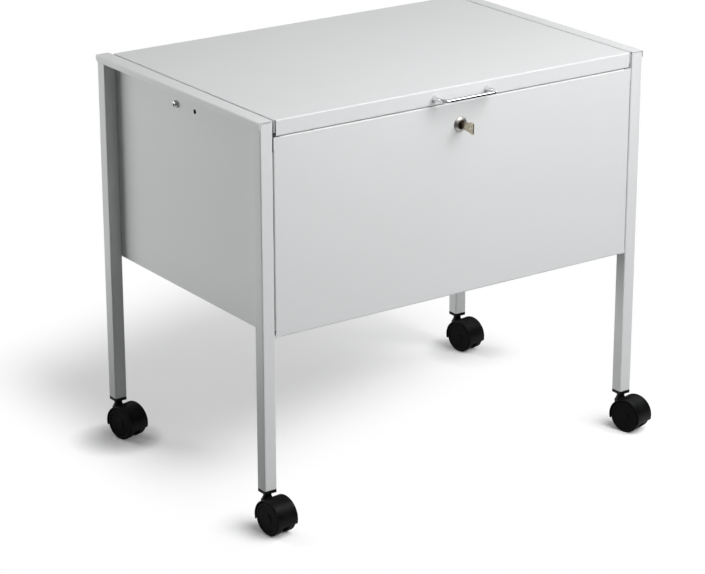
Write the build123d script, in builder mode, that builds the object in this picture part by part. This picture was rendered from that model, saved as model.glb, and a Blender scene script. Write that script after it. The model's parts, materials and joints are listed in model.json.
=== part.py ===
from build123d import *
import os
from math import asin, hypot, radians, sin, sqrt

os.makedirs("parts", exist_ok=True)

# Suspension file trolley, in millimetres: X across, Y from front to back, Z up.
# The origin lies on the floor, midway between the four legs.

# Frame
frame_width = 670.0  # over the outer faces of the legs
frame_depth = 440.0  # over the front and back faces of the legs
overall_height = 600.0  # floor to the top of the lid and the caps
leg_size = 20.0  # square tube, outside
leg_wall = 1.5
leg_corner = 2.0  # outside radius of the tube's edges
leg_cap_gap = 0.2  # upper end of a tube to the cap's fold

# Folded sheet
sheet = 1.2
bend = 0.6  # inside radius of a fold
box_bottom = 288.5  # floor to the underside of the file box
bottom_flange = 15.0
side_flange = 16.0  # of the front and back panels, along the side walls
side_flange_start = 20.0  # below the top of a panel
top_flange = 10.0  # of the front panel, under the lid
corner_notch = 10.0  # length of a flange cut away at a corner
corner_slit = 0.6  # cut between the end of a flange and the flat corner beside it
flange_gap = 0.2  # side flanges to side walls
wall_setback = 3.0  # side walls behind the faces of the legs
back_setback = 0.4  # back panel in front of the back faces of the legs
cap_lip = 10.0  # folded down outside the legs
cap_lip_gap = 0.3
cap_tail = 1.0  # caps past the back faces of the legs
cap_bevel = 4.0  # cut off the lip's back corner
pan_gap = 1.5  # floor pan to the walls round it
pan_corner = 6.0

# File rails
file_span = 330.0  # between the rails' centres, for A4 suspension files
rail_sheet = 2.0
rail_height = 18.0
rail_drop = 38.0  # top of the lid to the top of the rails
rail_tab = 12.0

# Frame screws
screw_diameter = 4.0
screw_head_diameter = 8.0
screw_head = 2.2
screw_grip = 2.0  # past the tube's wall
screw_clearance = 0.1
screw_inset = 20.0  # from the ends of the front panel's side flanges

# Lid
lid_side_gap = 2.0  # to the side walls
lid_front_gap = 5.5  # front flange to the legs
lid_front_drop = 23.0
lid_side_drop = 18.0
lid_back_drop = 20.0
lid_return = 10.0
lid_seat_gap = 1.0  # lid to front panel
lid_opening = 85.0  # degrees
buffer_diameter = 7.0
buffer_inset = 60.0  # from the ends of the lid's front flange
buffer_gap = 0.1

# Piano hinge
hinge_inset = 9.5  # from the ends of the lid's back flange, at least
knuckle_length = 40.0
knuckle_gap = 0.4
hinge_pin_diameter = 2.5
knuckle_diameter = 4.8
hinge_sheet = 1.2
hinge_leaf_gap = 1.5  # pin axis to the near face of a leaf
hinge_leaf = 22.0  # pin axis to the lower edge of a leaf
hinge_leaf_drop = 3.0  # pin axis to the upper edge, beside the knuckles
hinge_pin_drop = 5.5  # top of the lid to the pin axis
running_clearance = 0.05  # on the radius of pins and shafts

# Lid stays
stay_foot_gap = 17.5  # floor pan to the lower end of an arm
stay_drop = 34.0  # top of the lid to the stay screws
stay_rivet_drop = 12.0  # top of the lid to the stay rivets
stay_width = 14.0
stay_sheet = 2.0
stay_end = 3.0  # slot end to the centre of the arm's round end
stay_screw_diameter = 6.0
stay_screw_head_diameter = 11.0
stay_screw_head = 5.0
stay_slot_clearance = 0.15
stay_rivet_diameter = 5.0
stay_rivet_head_diameter = 9.0
stay_rivet_head = 1.0
stay_rivet_shoulder = 2.0
stay_nut_width = 10.0
stay_nut = 3.0
stay_play = 0.15  # each side of an arm
spare_hole_diameter = 7.0
spare_hole_pitch = 50.0  # in front of the stay screw

# Handle
handle_drop = 12.0  # top of the lid to the handle's axis
handle_spacing = 92.0
handle_reach = 26.0  # front of the lid to the bar's axis
handle_bar = 6.0
handle_bend = 9.0
handle_foot_diameter = 12.0
handle_foot = 9.0
handle_screw_depth = 8.0

# Lock and key
lock_drop = 57.0  # top of the lid to the lock's axis
collar_diameter = 22.0
collar_rim = 1.2  # straight edge next to the panel
collar_nose_diameter = 14.5
collar_height = 4.0
barrel_diameter = 18.0
barrel_length = 22.0  # behind the front panel's face
lock_nut_width = 24.0
lock_nut = 5.0
plug_diameter = 10.5
plug_head_diameter = 12.0
plug_head = 1.5
plug_tail_diameter = 8.0
plug_play = 0.2
cam_width = 10.0
cam_length = 27.0
cam_sheet = 2.0
cam_hub_diameter = 14.0
cam_screw_diameter = 3.0
cam_screw_head_diameter = 9.0
cam_screw_head = 2.5
cam_screw_depth = 8.0
key_sheet = 2.0
key_blade_width = 7.0
key_blade_length = 20.0
key_neck = 6.0
key_bow_root = 11.0  # width of the bow where it leaves the neck
key_bow_width = 13.0
key_bow_length = 32.0
key_bow_corner = 2.0
key_hole_diameter = 4.0
key_hole_inset = 8.0  # end of the bow to the hole
key_gap = 0.3
key_cuts = 4
key_cut_depth = 1.6

# Strike that the cam turns over, inside the lid
strike_sheet = 1.5
strike_gap = 0.7  # behind the cam
strike_reach = 5.0  # tab in front of the strike
strike_tab_gap = 1.0  # under the turned cam
strike_near = 12.0  # tab's edge nearest the lock's axis
strike_tab = 16.0
strike_far = 52.0
strike_arm = 20.0
strike_hook = 12.0
strike_foot_inset = 3.0

# Castors
wheel_diameter = 50.0
wheel_width = 11.8
wheel_gap = 10.0  # between the two wheels
wheel_rim = 4.0
wheel_disc = 2.2
wheel_dish = 0.8
wheel_hub_diameter = 15.0
wheel_edge = 1.5
axle_diameter = 6.0
axle_inset = 2.5  # axle end inside a wheel's outer face
castor_trail = 19.0  # swivel axis to axle
hood_gap = 0.8  # over the treads
hood_wall = 2.0
hood_side = 0.4  # past the wheels' outer faces
hood_skirt_drop = 7.0  # axle to the hood's lower edge
hood_edge = 0.9
hood_web_gap = 0.3  # web to wheels
hood_hub_diameter = 18.0
neck_diameter = 12.0
neck_flare_diameter = 19.0
neck_flare = 7.0
neck_straight = 5.6
neck_rise = 3.8  # above the hood
swivel_gap = 0.4
stem_diameter = 6.0
stem_head_diameter = 9.0
stem_depth = 24.0  # into the hood's neck
socket_flange = 5.0
socket_plug = 25.0
socket_gap = 0.15
socket_roof = 2.0
castor_yaw = {"front_left": 7.0, "front_right": 15.0, "back_left": 14.0, "back_right": 10.0}

# Places worked out from the sizes above
front = -frame_depth / 2
back = frame_depth / 2
top = overall_height
wheel_radius = wheel_diameter / 2
hood_inner = wheel_radius + hood_gap
hood_outer = hood_inner + hood_wall
neck_top = wheel_radius + hood_outer + neck_rise
socket_bottom = neck_top + swivel_gap
leg_foot = socket_bottom + socket_flange
leg_x = (frame_width - leg_size) / 2
leg_y = (frame_depth - leg_size) / 2
wall_outer = frame_width / 2 - leg_size
wall_inner = wall_outer - sheet
wall_mid = wall_outer - sheet / 2
fold = bend + sheet / 2
fold_outer = bend + sheet
leg_top = top - fold_outer - leg_cap_gap
flange_outer = wall_inner - flange_gap
flange_mid = flange_outer - sheet / 2
flange_inner = flange_outer - sheet
flat_half = flange_outer - fold_outer
fold_half = flat_half - corner_notch
lid_bottom = top - lid_front_drop
front_panel_top = lid_bottom - lid_seat_gap
screw_low = box_bottom + fold_outer + screw_inset
screw_high = front_panel_top - side_flange_start - screw_inset
screw_heights = (screw_low, (screw_low + screw_high) / 2, screw_high)
pan_z = box_bottom + sheet
back_face = back - back_setback
hinge_y = back_face - sheet - hinge_sheet - hinge_leaf_gap
hinge_z = top - hinge_pin_drop
back_panel_top = hinge_z - hinge_leaf_drop
lid_back = hinge_y - hinge_leaf_gap - hinge_sheet
lid_half = wall_inner - lid_side_gap
lid_mid = lid_half - sheet / 2
lid_inner = lid_half - sheet
lid_front_half = wall_outer - lid_front_gap
handle_z = top - handle_drop
lock_z = top - lock_drop
cam_front = front + barrel_length + plug_play
cam_back = cam_front + cam_sheet
plug_face = front - collar_height
corners = {
    "front_left": (-1, -1),
    "front_right": (1, -1),
    "back_left": (-1, 1),
    "back_right": (1, 1),
}


def save(piece, name):
    piece.part.label = name
    export_step(piece.part, f"parts/{name}.step")


def fold_line(*points):
    # middle line of a folded sheet
    with BuildLine() as line:
        FilletPolyline(*points, radius=fold)
    return line.line


def mirrored(piece):
    # the same piece for the other side of the trolley
    with BuildPart() as copy:
        mirror(piece.part, about=Plane.YZ)
    return copy


def turned(axis_y, axis_z, points):
    # solid of revolution about a line along X: points are (x, radius)
    with BuildPart() as solid:
        with BuildSketch(Plane.XZ.offset(-axis_y)):
            with BuildLine():
                Polyline(*[(x, axis_z + radius) for x, radius in points], close=True)
            make_face()
        revolve(axis=Axis((0, axis_y, axis_z), (1, 0, 0)))
    return solid


# Legs: square tubes, with screw holes in the wall towards the box
leg_bore = leg_size - 2 * leg_wall
leg_bore_corner = max(leg_corner - leg_wall, 0.4)
for name, (side, end) in corners.items():
    with BuildPart() as leg:
        with BuildSketch(Plane.XY.offset(leg_foot)):
            with Locations((side * leg_x, end * leg_y)):
                RectangleRounded(leg_size, leg_size, leg_corner)
                RectangleRounded(leg_bore, leg_bore, leg_bore_corner, mode=Mode.SUBTRACT)
        extrude(amount=leg_top - leg_foot)
        with BuildSketch(Plane.YZ.offset(side * wall_outer)):
            with Locations(*[(end * leg_y, height) for height in screw_heights]):
                Circle(screw_diameter / 2 + screw_clearance)
        extrude(amount=side * leg_wall, mode=Mode.SUBTRACT)
    save(leg, f"leg_{name}")

# Stay geometry: rivet and screw lie equally far from the hinge, so an arm turns half as far as the lid.
# A closed arm hangs almost down to the floor pan, and that length sets how far from the hinge they lie.
stay_z = top - stay_drop
rivet_z = top - stay_rivet_drop
slot_far = rivet_z - pan_z - sheet - stay_foot_gap - stay_width / 2 - stay_end
stay_radius = slot_far
for _ in range(20):
    closed_angle = asin((hinge_z - stay_z) / stay_radius) - asin((hinge_z - rivet_z) / stay_radius)
    stay_radius = slot_far / (2 * sin((closed_angle + radians(lid_opening)) / 2))
stay_y = hinge_y - sqrt(stay_radius**2 - (hinge_z - stay_z) ** 2)
rivet_y = hinge_y - sqrt(stay_radius**2 - (hinge_z - rivet_z) ** 2)
slot_near = hypot(stay_y - rivet_y, stay_z - rivet_z)

# Side panels: wall with a bottom flange, a cap over the leg tops and a lip outside them
cap_mid = top - sheet / 2
lip_mid = frame_width / 2 + cap_lip_gap + sheet / 2
wall_end = back - wall_setback
wall_flange_end = back - side_flange - pan_gap
cap_corner = (wall_mid, cap_mid)
lip_corner = (lip_mid, cap_mid)
lip_tip = (lip_mid, top - cap_lip)
with BuildPart() as side_panel_right:
    with BuildSketch(Plane.XZ.offset(-wall_flange_end)):
        flange_tip = (wall_outer - bottom_flange, box_bottom + sheet / 2)
        flange_corner = (wall_mid, box_bottom + sheet / 2)
        trace(fold_line(flange_tip, flange_corner, cap_corner, lip_corner, lip_tip), line_width=sheet)
    extrude(amount=2 * wall_flange_end)
    with BuildSketch(Plane.XZ.offset(-wall_end)):
        wall_foot = (wall_mid, box_bottom + fold_outer)
        trace(fold_line(wall_foot, cap_corner, lip_corner, lip_tip), line_width=sheet)
    extrude(amount=2 * wall_end)
    with BuildSketch(Plane.XZ.offset(-(back + cap_tail))):
        trace(fold_line((wall_outer, cap_mid), lip_corner, lip_tip), line_width=sheet)
    extrude(amount=frame_depth + cap_tail)
    lip_end = side_panel_right.edges().filter_by(Axis.X).group_by(Axis.Y)[-1].sort_by(Axis.Z)[0]
    chamfer(lip_end, length=cap_bevel)
    with BuildSketch(Plane.YZ.offset(wall_inner)):
        with Locations((stay_y, stay_z)):
            Circle(stay_screw_diameter / 2 + running_clearance)
        with Locations((stay_y - spare_hole_pitch, stay_z)):
            Circle(spare_hole_diameter / 2)
        with Locations(*[(end * leg_y, height) for end in (-1, 1) for height in screw_heights]):
            Circle(screw_diameter / 2 + screw_clearance)
    extrude(amount=sheet, mode=Mode.SUBTRACT)
save(side_panel_right, "side_panel_right")
save(mirrored(side_panel_right), "side_panel_left")


def folded_panel(face_y, inward, panel_top, upper_flange):
    # sheet with flanges along the bottom, both sides and, where asked, the top
    face_mid = face_y + inward * sheet / 2
    bottom_mid = box_bottom + sheet / 2
    points = [(face_y + inward * bottom_flange, bottom_mid), (face_mid, bottom_mid)]
    if upper_flange:
        points += [(face_mid, panel_top - sheet / 2), (face_y + inward * upper_flange, panel_top - sheet / 2)]
        flat_top = panel_top - fold_outer
    else:
        points += [(face_mid, panel_top)]
        flat_top = panel_top
    flat_bottom = box_bottom + fold_outer
    tip_y = face_y + inward * side_flange
    with BuildPart() as panel:
        with BuildSketch(Plane.YZ.offset(-fold_half)):
            trace(fold_line(*points), line_width=sheet)
        extrude(amount=2 * fold_half)
        with BuildSketch(Plane.XZ.offset(-face_y)):
            with Locations((0, (flat_bottom + flat_top) / 2)):
                Rectangle(2 * flat_half, flat_top - flat_bottom)
            flange_top = panel_top - side_flange_start
            corner_start = fold_half + corner_slit
            corner_mid = (corner_start + flange_outer) / 2
            low_corner = corner_notch - corner_slit
            high_corner = side_flange_start - corner_slit
            with GridLocations(2 * corner_mid, 0, 2, 1):
                with Locations((0, box_bottom + low_corner / 2)):
                    Rectangle(flange_outer - corner_start, low_corner)
                with Locations((0, panel_top - high_corner / 2)):
                    Rectangle(flange_outer - corner_start, high_corner)
        extrude(amount=-inward * sheet)
        with BuildSketch(Plane.XY.offset(box_bottom + corner_notch)):
            left = [(-flange_mid, tip_y), (-flange_mid, face_mid)]
            right = [(flange_mid, face_mid), (flange_mid, tip_y)]
            trace(fold_line(*left, *right), line_width=sheet)
        extrude(amount=flange_top - box_bottom - corner_notch)
        with BuildSketch(Plane.YZ.offset(-flange_outer)):
            with Locations(*[(-inward * leg_y, height) for height in screw_heights]):
                Circle(screw_diameter / 2 + screw_clearance)
        extrude(amount=2 * flange_outer, mode=Mode.SUBTRACT)
    return panel


with BuildPart() as front_panel:
    add(folded_panel(front, 1, front_panel_top, top_flange).part)
    with BuildSketch(Plane.XZ.offset(-front)):
        with Locations((0, lock_z)):
            Circle(barrel_diameter / 2 + screw_clearance)
    extrude(amount=-sheet, mode=Mode.SUBTRACT)
save(front_panel, "front_panel")
save(folded_panel(back_face, -1, back_panel_top, 0), "back_panel")

# Floor pan: lies on the bottom flanges, with its corners rounded off
pan_width = 2 * (flange_inner - pan_gap)
pan_depth = back_face - front - 2 * (sheet + pan_gap)
with BuildPart() as floor_pan:
    with BuildSketch(Plane.XY.offset(pan_z)):
        with Locations((0, (front + back_face) / 2)):
            RectangleRounded(pan_width, pan_depth, pan_corner)
    extrude(amount=sheet)
save(floor_pan, "floor_pan")

# File rails: strips on edge, with tabs bent along the side walls
rail_mid = wall_inner - rail_sheet / 2
rail_y = file_span / 2
for name, end in (("front", -1), ("back", 1)):
    with BuildPart() as rail:
        with BuildSketch(Plane.XY.offset(top - rail_drop - rail_height)):
            tab_tip = end * (rail_y + rail_tab)
            with BuildLine():
                strip = [(-rail_mid, end * rail_y), (rail_mid, end * rail_y)]
                rail_fold = bend + rail_sheet / 2
                FilletPolyline((-rail_mid, tab_tip), *strip, (rail_mid, tab_tip), radius=rail_fold)
            trace(line_width=rail_sheet)
        extrude(amount=rail_height)
    save(rail, f"file_rail_{name}")

# Frame screws: flange, side wall and tube, with their heads inside the box
with BuildPart() as frame_screws:
    for side, end in corners.values():
        with BuildSketch(Plane.YZ.offset(side * flange_inner)):
            with Locations(*[(end * leg_y, height) for height in screw_heights]):
                Circle(screw_head_diameter / 2)
        extrude(amount=-side * screw_head)
        with BuildSketch(Plane.YZ.offset(side * flange_inner)):
            with Locations(*[(end * leg_y, height) for height in screw_heights]):
                Circle(screw_diameter / 2)
        extrude(amount=side * (wall_outer + leg_wall + screw_grip - flange_inner))
save(frame_screws, "frame_screws")

# Lid: tray with a returned front flange, side flanges and a back flange for the hinge
with BuildPart() as lid:
    with BuildSketch(Plane.YZ.offset(-lid_front_half)):
        face_mid = front + sheet / 2
        back_mid = lid_back - sheet / 2
        front_points = [(front + lid_return, lid_bottom + sheet / 2), (face_mid, lid_bottom + sheet / 2)]
        back_points = [(back_mid, cap_mid), (back_mid, top - lid_back_drop)]
        trace(fold_line(*front_points, (face_mid, cap_mid), *back_points), line_width=sheet)
    extrude(amount=2 * lid_front_half)
    with BuildSketch(Plane.XZ.offset(-(lid_back - fold_outer))):
        left = [(-lid_mid, top - lid_side_drop), (-lid_mid, cap_mid)]
        right = [(lid_mid, cap_mid), (lid_mid, top - lid_side_drop)]
        trace(fold_line(*left, *right), line_width=sheet)
    extrude(amount=lid_back - front - 2 * fold_outer)
    with BuildSketch(Plane.XZ.offset(-front)):
        with GridLocations(handle_spacing, 0, 2, 1):
            with Locations((0, handle_z)):
                Circle(screw_diameter / 2 + screw_clearance)
    extrude(amount=-sheet, mode=Mode.SUBTRACT)
    with BuildSketch(Plane.YZ.offset(-lid_half)):
        with Locations((rivet_y, rivet_z)):
            Circle(stay_rivet_diameter / 2 + running_clearance)
    extrude(amount=2 * lid_half, mode=Mode.SUBTRACT)
save(lid, "lid")

# Rubber buffers that the closed lid rests on
with BuildPart() as lid_buffers:
    with BuildSketch(Plane.XY.offset(front_panel_top)):
        with Locations((0, front + (fold_outer + top_flange) / 2)):
            with GridLocations(2 * (lid_front_half - buffer_inset), 0, 2, 1):
                Circle(buffer_diameter / 2)
    extrude(amount=lid_seat_gap - buffer_gap)
    fillet(lid_buffers.edges().filter_by(GeomType.CIRCLE).group_by(Axis.Z)[-1], radius=sheet / 2)
save(lid_buffers, "lid_buffers")

# Piano hinge: knuckles alternate between the leaf on the back panel and the leaf on the lid
knuckle_count = int(2 * (lid_front_half - hinge_inset) // knuckle_length)
hinge_start = -knuckle_count * knuckle_length / 2
tongue_y = hinge_leaf_gap + hinge_sheet / 2


def hinge_leaf_part(direction, first):
    with BuildPart() as leaf:
        with BuildSketch(Plane.YZ.offset(hinge_start)):
            with Locations((hinge_y + direction * tongue_y, hinge_z - (hinge_leaf_drop + hinge_leaf) / 2)):
                Rectangle(hinge_sheet, hinge_leaf - hinge_leaf_drop)
        extrude(amount=knuckle_count * knuckle_length)
        for index in range(first, knuckle_count, 2):
            with BuildSketch(Plane.YZ.offset(hinge_start + index * knuckle_length + knuckle_gap / 2)):
                with Locations((hinge_y, hinge_z)):
                    Circle(knuckle_diameter / 2)
                with Locations((hinge_y + direction * tongue_y, hinge_z - hinge_leaf_drop / 2)):
                    Rectangle(hinge_sheet, hinge_leaf_drop)
                with Locations((hinge_y, hinge_z)):
                    Circle(hinge_pin_diameter / 2 + running_clearance, mode=Mode.SUBTRACT)
            extrude(amount=knuckle_length - knuckle_gap)
    return leaf


save(hinge_leaf_part(1, 0), "hinge_leaf_body")
save(hinge_leaf_part(-1, 1), "hinge_leaf_lid")
with BuildPart() as hinge_pin:
    with BuildSketch(Plane.YZ.offset(hinge_start)):
        with Locations((hinge_y, hinge_z)):
            Circle(hinge_pin_diameter / 2)
    extrude(amount=knuckle_count * knuckle_length)
save(hinge_pin, "hinge_pin")

# Lid stays: slotted arms between the lid's side flanges and the side walls' screws
arm_outer = lid_inner - stay_rivet_shoulder - stay_play
arm_inner = arm_outer - stay_sheet
arm_direction = (0, stay_y - rivet_y, stay_z - rivet_z)
with BuildPart() as stay_arm_right:
    with BuildSketch(Plane((arm_inner, rivet_y, rivet_z), x_dir=arm_direction, z_dir=(1, 0, 0))):
        arm_length = slot_far + stay_end
        with Locations((arm_length / 2, 0)):
            SlotCenterToCenter(arm_length, stay_width)
        Circle(stay_rivet_diameter / 2 + running_clearance, mode=Mode.SUBTRACT)
        with Locations(((slot_near + slot_far) / 2, 0)):
            slot_width = stay_screw_diameter + 2 * stay_slot_clearance
            SlotCenterToCenter(slot_far - slot_near, slot_width, mode=Mode.SUBTRACT)
    extrude(amount=stay_sheet)
save(stay_arm_right, "stay_arm_right")
save(mirrored(stay_arm_right), "stay_arm_left")

# Stay screws: round head outside, shank through the wall, spacer, arm and nut
nut_outer = arm_inner - stay_play
screw_tip = nut_outer - stay_nut
stay_screw_right = turned(
    stay_y,
    stay_z,
    [
        (screw_tip, 0),
        (screw_tip, stay_screw_diameter / 2),
        (wall_outer, stay_screw_diameter / 2),
        (wall_outer, stay_screw_head_diameter / 2),
        (wall_outer + stay_screw_head, stay_screw_head_diameter / 2),
        (wall_outer + stay_screw_head, 0),
    ],
)
save(stay_screw_right, "stay_screw_right")
save(mirrored(stay_screw_right), "stay_screw_left")
with BuildPart() as stay_spacers:
    with BuildSketch(Plane.YZ.offset(arm_outer + stay_play)):
        with Locations((stay_y, stay_z)):
            Circle(stay_screw_head_diameter / 2)
            Circle(stay_screw_diameter / 2 + running_clearance, mode=Mode.SUBTRACT)
    extrude(amount=wall_inner - arm_outer - stay_play)
    mirror(about=Plane.YZ)
save(stay_spacers, "stay_spacers")
with BuildPart() as stay_nuts:
    with BuildSketch(Plane.YZ.offset(screw_tip)):
        with Locations((stay_y, stay_z)):
            RegularPolygon(stay_nut_width / 2, 6, major_radius=False)
            Circle(stay_screw_diameter / 2 + running_clearance, mode=Mode.SUBTRACT)
    extrude(amount=stay_nut)
    mirror(about=Plane.YZ)
save(stay_nuts, "stay_nuts")

# Shoulder rivets that carry the arms on the lid
rivet_right = turned(
    rivet_y,
    rivet_z,
    [
        (arm_inner - stay_play - stay_rivet_head, 0),
        (arm_inner - stay_play - stay_rivet_head, stay_rivet_head_diameter / 2),
        (arm_inner - stay_play, stay_rivet_head_diameter / 2),
        (arm_inner - stay_play, stay_rivet_diameter / 2),
        (lid_inner - stay_rivet_shoulder, stay_rivet_diameter / 2),
        (lid_inner - stay_rivet_shoulder, stay_rivet_head_diameter / 2),
        (lid_inner, stay_rivet_head_diameter / 2),
        (lid_inner, stay_rivet_diameter / 2),
        (lid_half, stay_rivet_diameter / 2),
        (lid_half, stay_rivet_head_diameter / 2),
        (lid_half + stay_rivet_head, stay_rivet_head_diameter / 2),
        (lid_half + stay_rivet_head, 0),
    ],
)
with BuildPart() as stay_rivets:
    add(rivet_right.part)
    mirror(about=Plane.YZ)
save(stay_rivets, "stay_rivets")

# Handle: round bar bent to a bow, with flared feet drilled for the screws
handle_half = handle_spacing / 2
bar_y = front - handle_reach
with BuildPart() as handle:
    with BuildLine(Plane.XY.offset(handle_z)):
        ends = [(-handle_half, front), (handle_half, front)]
        turns = [(-handle_half, bar_y), (handle_half, bar_y)]
        FilletPolyline(ends[0], *turns, ends[1], radius=handle_bend)
    with BuildSketch(Plane((-handle_half, front, handle_z), x_dir=(1, 0, 0), z_dir=(0, -1, 0))):
        Circle(handle_bar / 2)
    sweep()
    for side in (-1, 1):
        with BuildSketch(Plane.XY.offset(handle_z)):
            with BuildLine():
                axis_x = side * handle_half
                rim = (axis_x + handle_foot_diameter / 2, front)
                rim_edge = (axis_x + handle_foot_diameter / 2, front - sheet)
                waist = (axis_x + handle_bar / 2, front - handle_foot)
                Polyline(waist, (axis_x, front - handle_foot), (axis_x, front), rim, rim_edge)
                flare = (handle_foot_diameter - handle_bar) / 2
                RadiusArc(rim_edge, waist, (flare**2 + (handle_foot - sheet) ** 2) / (2 * flare))
            make_face()
        revolve(axis=Axis((side * handle_half, front, handle_z), (0, 1, 0)))
    with BuildSketch(Plane.XZ.offset(-front)):
        with Locations((-handle_half, handle_z), (handle_half, handle_z)):
            Circle(screw_diameter / 2 + screw_clearance)
    extrude(amount=handle_screw_depth, mode=Mode.SUBTRACT)
save(handle, "handle")
with BuildPart() as handle_screws:
    with BuildSketch(Plane.XZ.offset(-(front + sheet))):
        with Locations((-handle_half, handle_z), (handle_half, handle_z)):
            Circle(screw_head_diameter / 2)
    extrude(amount=-screw_head)
    with BuildSketch(Plane.XZ.offset(-(front + sheet))):
        with Locations((-handle_half, handle_z), (handle_half, handle_z)):
            Circle(screw_diameter / 2)
    extrude(amount=sheet + handle_screw_depth - screw_clearance)
save(handle_screws, "handle_screws")

# Lock: collar outside, barrel through the front panel, ring nut behind it
lock_axis = Axis((0, 0, lock_z), (0, 1, 0))
bore = plug_diameter / 2 + running_clearance
counterbore = plug_head_diameter / 2 + running_clearance
counterbore_end = plug_face + plug_head + plug_play
with BuildPart() as lock_barrel:
    with BuildSketch(Plane.YZ):
        with BuildLine():
            collar = [
                (plug_face, lock_z + counterbore),
                (plug_face, lock_z + collar_nose_diameter / 2),
                (front - collar_rim, lock_z + collar_diameter / 2),
                (front, lock_z + collar_diameter / 2),
            ]
            barrel = [
                (front, lock_z + barrel_diameter / 2),
                (front + barrel_length, lock_z + barrel_diameter / 2),
                (front + barrel_length, lock_z + bore),
            ]
            step = [(counterbore_end, lock_z + bore), (counterbore_end, lock_z + counterbore)]
            Polyline(*collar, *barrel, *step, close=True)
        make_face()
    revolve(axis=lock_axis)
save(lock_barrel, "lock_barrel")
with BuildPart() as lock_nut_ring:
    with BuildSketch(Plane.XZ.offset(-(front + sheet))):
        with Locations((0, lock_z)):
            RegularPolygon(lock_nut_width / 2, 6, major_radius=False)
            Circle(barrel_diameter / 2 + running_clearance, mode=Mode.SUBTRACT)
    extrude(amount=-lock_nut)
save(lock_nut_ring, "lock_nut")

# Plug with its keyway, tail for the cam and hole for the cam screw
with BuildPart() as lock_plug:
    with BuildSketch(Plane.YZ):
        with BuildLine():
            Polyline(
                (plug_face, lock_z),
                (plug_face, lock_z + plug_head_diameter / 2),
                (plug_face + plug_head, lock_z + plug_head_diameter / 2),
                (plug_face + plug_head, lock_z + plug_diameter / 2),
                (cam_front, lock_z + plug_diameter / 2),
                (cam_front, lock_z + plug_tail_diameter / 2),
                (cam_back, lock_z + plug_tail_diameter / 2),
                (cam_back, lock_z),
                close=True,
            )
        make_face()
    revolve(axis=lock_axis)
    with BuildSketch(Plane.XZ.offset(-plug_face)):
        with Locations((0, lock_z)):
            Rectangle(key_sheet + 2 * plug_play, key_blade_width + 2 * plug_play)
    extrude(amount=-(key_blade_length + plug_play), mode=Mode.SUBTRACT)
    with BuildSketch(Plane.XZ.offset(-cam_back)):
        with Locations((0, lock_z)):
            Circle(cam_screw_diameter / 2 + running_clearance)
    extrude(amount=cam_screw_depth, mode=Mode.SUBTRACT)
save(lock_plug, "lock_plug")

# Cam: points up when unlocked
with BuildPart() as lock_cam:
    with BuildSketch(Plane.XZ.offset(-cam_back)):
        with Locations((0, lock_z)):
            Circle(cam_hub_diameter / 2)
        with Locations((0, lock_z + (cam_length - cam_width / 2) / 2)):
            SlotCenterToCenter(cam_length - cam_width / 2, cam_width, rotation=90)
        with Locations((0, lock_z)):
            Circle(plug_tail_diameter / 2 + running_clearance, mode=Mode.SUBTRACT)
    extrude(amount=cam_sheet)
save(lock_cam, "lock_cam")
with BuildPart() as cam_screw:
    with BuildSketch(Plane.XZ.offset(-cam_back)):
        with Locations((0, lock_z)):
            Circle(cam_screw_head_diameter / 2)
    extrude(amount=-cam_screw_head)
    with BuildSketch(Plane.XZ.offset(-cam_back)):
        with Locations((0, lock_z)):
            Circle(cam_screw_diameter / 2)
    extrude(amount=cam_screw_depth - plug_play)
save(cam_screw, "cam_screw")

# Key: flat blade with cuts, and a bow that widens to its end
key_shoulder = plug_face - key_gap
key_end = key_shoulder - key_bow_length
with BuildPart() as key:
    with BuildSketch(Plane.YZ.offset(-key_sheet / 2)):
        with BuildLine():
            half_blade = key_blade_width / 2
            half_root = key_bow_root / 2
            half_bow = key_bow_width / 2
            Polyline(
                (key_shoulder, lock_z - half_blade),
                (key_shoulder - key_neck, lock_z - half_blade),
                (key_shoulder - key_neck, lock_z - half_root),
                (key_end, lock_z - half_bow),
                (key_end, lock_z + half_bow),
                (key_shoulder - key_neck, lock_z + half_root),
                (key_shoulder - key_neck, lock_z + half_blade),
                (key_shoulder, lock_z + half_blade),
                close=True,
            )
        bow = make_face()
        fillet(bow.vertices().group_by(Axis.X)[0], radius=key_bow_corner)
        with Locations((key_end + key_hole_inset, lock_z)):
            Circle(key_hole_diameter / 2, mode=Mode.SUBTRACT)
        with Locations((plug_face + (key_blade_length - key_gap) / 2, lock_z)):
            Rectangle(key_blade_length + key_gap, key_blade_width)
        cut_pitch = key_blade_length / (key_cuts + 1)
        for index in range(key_cuts):
            with Locations((plug_face + (index + 1) * cut_pitch, lock_z - half_blade)):
                Circle(key_cut_depth, mode=Mode.SUBTRACT)
    extrude(amount=key_sheet)
save(key, "key")

# Strike: foot on the lid's return, a leg down to the lock and a tab under the turned cam
strike_front = cam_back + strike_gap
strike_mid = strike_front + strike_sheet / 2
strike_fold = bend + strike_sheet / 2
tab_mid = lock_z - cam_width / 2 - strike_tab_gap - strike_sheet / 2
tab_bottom = tab_mid - strike_sheet / 2
foot_mid = lid_bottom + sheet + strike_sheet / 2
with BuildPart() as lock_strike:
    with BuildSketch(Plane.YZ.offset(strike_far - strike_arm)):
        with BuildLine():
            foot_tip = (front + strike_foot_inset, foot_mid)
            FilletPolyline(foot_tip, (strike_mid, foot_mid), (strike_mid, tab_bottom), radius=strike_fold)
        trace(line_width=strike_sheet)
    extrude(amount=strike_arm)
    with BuildSketch(Plane.XZ.offset(-(strike_front + strike_sheet))):
        with Locations(((strike_near + strike_far) / 2, tab_bottom + (fold_outer + strike_hook) / 2)):
            Rectangle(strike_far - strike_near, strike_hook - fold_outer)
    extrude(amount=strike_sheet)
    with BuildSketch(Plane.YZ.offset(strike_near)):
        with BuildLine():
            tab_tip = (strike_front - strike_reach, tab_mid)
            hook_top = (strike_mid, tab_bottom + strike_hook)
            FilletPolyline(tab_tip, (strike_mid, tab_mid), hook_top, radius=strike_fold)
        trace(line_width=strike_sheet)
    extrude(amount=strike_tab)
save(lock_strike, "lock_strike")

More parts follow.
